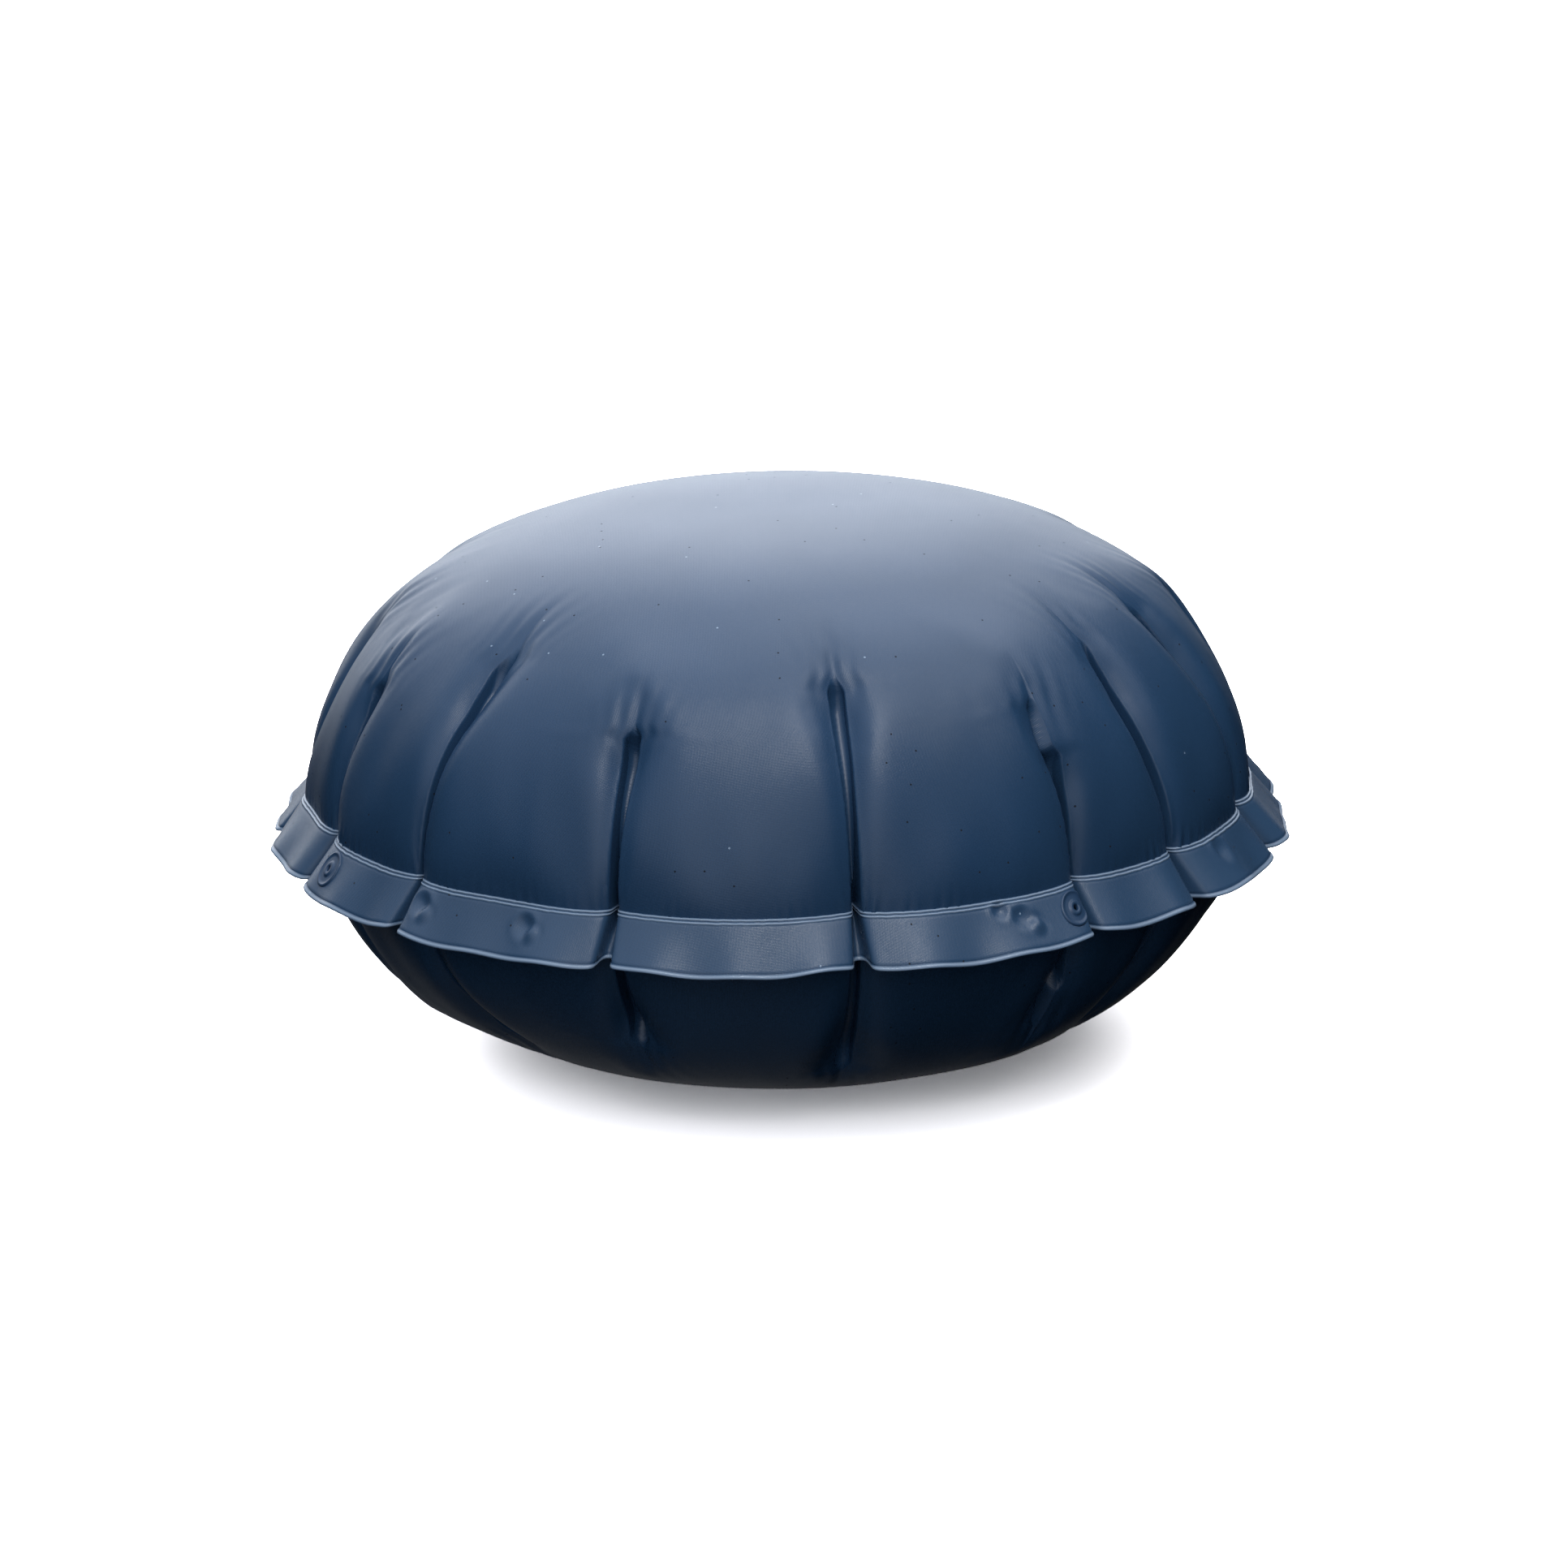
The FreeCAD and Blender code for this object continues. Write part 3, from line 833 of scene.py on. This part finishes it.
def pvc_sheet(name, light, deep, roughness=0.3, welded=False):
    """Vinyl sheet between two colours; a welded one has smoother beads, painted paler as a highlight."""
    finish, tree = new_finish(name)
    cut = node(tree, "Attribute", attribute_name="cut").outputs["Vector"]
    slow = node(tree, "TexNoise", {"Vector": cut, "Scale": 7, "Detail": 3}).outputs[0]
    colour = mixed(tree, slow, srgb(light), srgb(deep))

    # the weave is the product of two slanting waves, with a little grain
    flat = node(tree, "SeparateXYZ", {0: cut})
    ridges = [sum_of(tree, "MULTIPLY", sum_of(tree, way, flat.outputs[0], flat.outputs[1]), TAU / WEAVE_PITCH)
              for way in ("ADD", "SUBTRACT")]
    weave = sum_of(tree, "MULTIPLY", sum_of(tree, "SINE", ridges[0], 0), sum_of(tree, "SINE", ridges[1], 0))
    grain = node(tree, "TexNoise", {"Vector": cut, "Scale": 900, "Detail": 1}).outputs[0]
    height = sum_of(tree, "ADD", sum_of(tree, "MULTIPLY", weave, 0.5), grain)
    bump = node(tree, "Bump", {"Height": height, "Strength": 0.9, "Distance": 0.09 * MM}).outputs[0]

    # a few cells of a Voronoi pattern hold a dark speck or a bit of dust
    specks = node(tree, "TexVoronoi", {"Vector": cut, "Scale": 38, "Randomness": 1}, voronoi_dimensions="2D")
    chosen = node(tree, "SeparateColor", {0: specks.outputs["Color"]}).outputs[0]
    small = sum_of(tree, "LESS_THAN", specks.outputs["Distance"], 0.036)
    dark = sum_of(tree, "MULTIPLY", small, sum_of(tree, "LESS_THAN", chosen, 0.13))
    dust = sum_of(tree, "MULTIPLY", small, sum_of(tree, "GREATER_THAN", chosen, 0.975))
    colour = mixed(tree, dark, colour, srgb(DARK_SPECK))
    colour = mixed(tree, dust, colour, srgb(DUST_SPECK))

    gloss = node(tree, "MapRange", {"Value": slow, "To Min": roughness - 0.04, "To Max": roughness + 0.05})
    gloss = sum_of(tree, "ADD", gloss.outputs[0], sum_of(tree, "MULTIPLY", dark, 0.6))
    if welded:
        # the beads get a painted highlight, a paler colour mixed in, and a smoother gloss
        pressed = node(tree, "Attribute", attribute_name="pressed").outputs["Fac"]
        colour = mixed(tree, sum_of(tree, "MULTIPLY", pressed, 0.9), colour, srgb(BEAD_PAINTED_HIGHLIGHT))
        gloss = sum_of(tree, "SUBTRACT", gloss, sum_of(tree, "MULTIPLY", pressed, 0.14))
    shader = node(tree, "BsdfPrincipled", {"Base Color": colour, "Roughness": gloss,
                                           "IOR": 1.5, "Normal": bump})
    node(tree, "OutputMaterial", {0: shader.outputs[0]})
    return finish


sheet_vinyl = pvc_sheet("embossed_pvc_sheet", "2F4F73", "294767")
# the flange is the same vinyl as the sheet; its paler blues are painted light, a lit copy of it
flange_vinyl = pvc_sheet("welded_pvc_flange", "3B597A", "334F6E", roughness=0.24, welded=True)
print("sheet finishes made")

# %% [markdown]
# The washers and the valve are moulded from soft PVC of the same colour, a little
# smoother, with the faint orange peel of a mould.

# %% Moulded PVC
def moulded_pvc(name, colour, roughness=0.34):
    finish, tree = new_finish(name)
    place = node(tree, "TexCoord").outputs["Object"]
    peel = node(tree, "TexNoise", {"Vector": place, "Scale": 420, "Detail": 2}).outputs[0]
    slow = node(tree, "TexNoise", {"Vector": place, "Scale": 30, "Detail": 2}).outputs[0]
    tint = mixed(tree, slow, srgb(colour), srgb("294767"))
    bump = node(tree, "Bump", {"Height": peel, "Strength": 0.3, "Distance": 0.05 * MM}).outputs[0]
    gloss = node(tree, "MapRange", {"Value": slow, "To Min": roughness - 0.05, "To Max": roughness + 0.05})
    shader = node(tree, "BsdfPrincipled", {"Base Color": tint, "Roughness": gloss.outputs[0],
                                           "IOR": 1.5, "Normal": bump})
    node(tree, "OutputMaterial", {0: shader.outputs[0]})
    return finish


eyelet_vinyl = moulded_pvc("moulded_pvc_eyelet", "364F6F")
valve_vinyl = moulded_pvc("moulded_pvc_valve", "334B6B")
flap_vinyl = moulded_pvc("soft_pvc_flap", "2E4460", 0.5)
print("moulded finishes made")

# %% [markdown]
# Each piece gets its finish, rides on its CAD body and stands for its CAD node.

# %% Putting the pieces on the frame
def settle(piece, finish, slot, *stands_for):
    """Gives a piece its finish, its CAD body and the nodes it stands for; slot is not used."""
    piece.data.materials.append(finish)
    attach(piece, "pillow")
    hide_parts(*stands_for)


settle(crown, sheet_vinyl, "vinyl_sheet", "top_sheet")
settle(belly, sheet_vinyl, "vinyl_sheet", "bottom_sheet")
settle(flange, flange_vinyl, "vinyl_sheet", "rim_flange")
for stood_for, piece in eyelets.items():
    settle(piece, eyelet_vinyl, "eyelet_vinyl", stood_for)


def paint(name, finish):
    """Gives a CAD node that is kept as it is its finish."""
    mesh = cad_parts[name].data
    if not mesh.materials:
        mesh.materials.append(finish)
    for k in range(len(mesh.materials)):
        mesh.materials[k] = finish


for name in ("valve_base", "valve_plug", "valve_cap"):
    paint(name, valve_vinyl)
paint("check_flap", flap_vinyl)
print("pieces on the frame", 3 + len(eyelets))

# %% [markdown]
# A plain white floor, a white sky that is dim below and at the sides, a broad soft light
# overhead and a small one in front. The floor is brightened until it burns out to white
# outside the shadow, and hidden from bounced light, which keeps the belly dark.

# %% Floor and light
floor_mesh = bpy.data.meshes.new("floor")
floor_mesh.from_pydata([(-30, -30, 0), (30, -30, 0), (30, 30, 0), (-30, 30, 0)], [], [(0, 1, 2, 3)])
floor = bpy.data.objects.new("floor", floor_mesh)
bpy.context.scene.collection.objects.link(floor)
paper, paper_tree = new_finish("white_paper")
PAPER_BRIGHTNESS = (7.6, 7.2, 6.9, 1)
paper_lit = node(paper_tree, "BsdfDiffuse", {"Color": PAPER_BRIGHTNESS}).outputs[0]
paper_glow = node(paper_tree, "Emission", {"Color": (1, 1, 1, 1), "Strength": 0.1}).outputs[0]
paper_both = node(paper_tree, "AddShader", {0: paper_lit, 1: paper_glow}).outputs[0]
node(paper_tree, "OutputMaterial", {0: paper_both})
floor_mesh.materials.append(paper)
floor.visible_diffuse = False
floor.visible_glossy = False

bpy.context.scene.view_settings.view_transform = "Standard"
sky = bpy.data.worlds.new("studio")
bpy.context.scene.world = sky
sky.use_nodes = True
sky.node_tree.nodes.clear()
sky_tree = sky.node_tree


def sky_math(operation, first, second, **settings):
    return sum_of(sky_tree, operation, first, second, **settings)


direction = node(sky_tree, "TexCoord").outputs["Generated"]
to_right, to_back, to_top = node(sky_tree, "SeparateXYZ", {0: direction}).outputs
behind = sky_math("POWER", sky_math("MAXIMUM", to_back, 0), 2.5)
aside = sky_math("MULTIPLY", to_right, to_right)
low = sky_math("SUBTRACT", 1, to_top)
right = sky_math("MULTIPLY", sky_math("MAXIMUM", to_right, 0), 0.95)
shade = sky_math("MULTIPLY", sky_math("MULTIPLY", sky_math("ADD", aside, right), low), 2.0)
level = sky_math("ADD", sky_math("MULTIPLY", behind, 1.7), 0.92)
level = sky_math("MULTIPLY", level, sky_math("SUBTRACT", 1, shade, use_clamp=True))
above = node(sky_tree, "MapRange", {"Value": to_top, "From Min": -0.2, "From Max": 0.08,
                                    "To Min": 0.05, "To Max": 1}).outputs[0]
level = sky_math("MULTIPLY", level, above)
sky_shader = node(sky_tree, "Background", {"Color": (0.93, 0.98, 1.06, 1), "Strength": level})
node(sky_tree, "OutputWorld", {0: sky_shader.outputs[0]})


def soft_light(name, place, target, size, power):
    light = bpy.data.lights.new(name, "AREA")
    light.shape = "RECTANGLE"
    light.size, light.size_y = size
    light.energy = power
    lamp = bpy.data.objects.new(name, light)
    lamp.location = place
    lamp.rotation_euler = (Vector(target) - Vector(place)).to_track_quat("-Z", "Y").to_euler()
    bpy.context.scene.collection.objects.link(lamp)
    print(name, power, "W")


soft_light("overhead_softbox", (0.8, 0.4, 3.2), (0, 0, 0.3), (3.5, 3.5), 35)
soft_light("front_softbox", (0.3, -1.6, 3.0), (0, 0, 0.3), (1.0, 0.5), 19)

# %% [markdown]
# A long lens from a good distance looks a little down on the pillow from the front.

# %% Camera
CAMERA_DISTANCE = 8.57
CAMERA_RISE = math.radians(16.4)
CAMERA_ROLL = -1.1
camera_data = bpy.data.cameras.new("camera")
camera_data.lens = 216.3
camera_data.sensor_width = 36
camera_data.clip_end = 60
camera_data.shift_x = 0.0026
camera_data.shift_y = -0.0036
camera = bpy.data.objects.new("camera", camera_data)
view_line = Vector((0, -math.cos(CAMERA_RISE), math.sin(CAMERA_RISE)))
camera.location = view_line * CAMERA_DISTANCE + Vector((0, 0, WELD_HEIGHT))
tilt = (-view_line).to_track_quat("-Z", "Y") @ Quaternion((0, 0, 1), math.radians(CAMERA_ROLL))
camera.rotation_euler = tilt.to_euler()
bpy.context.scene.collection.objects.link(camera)
bpy.context.scene.camera = camera
print("camera at", [round(value, 2) for value in camera.location])
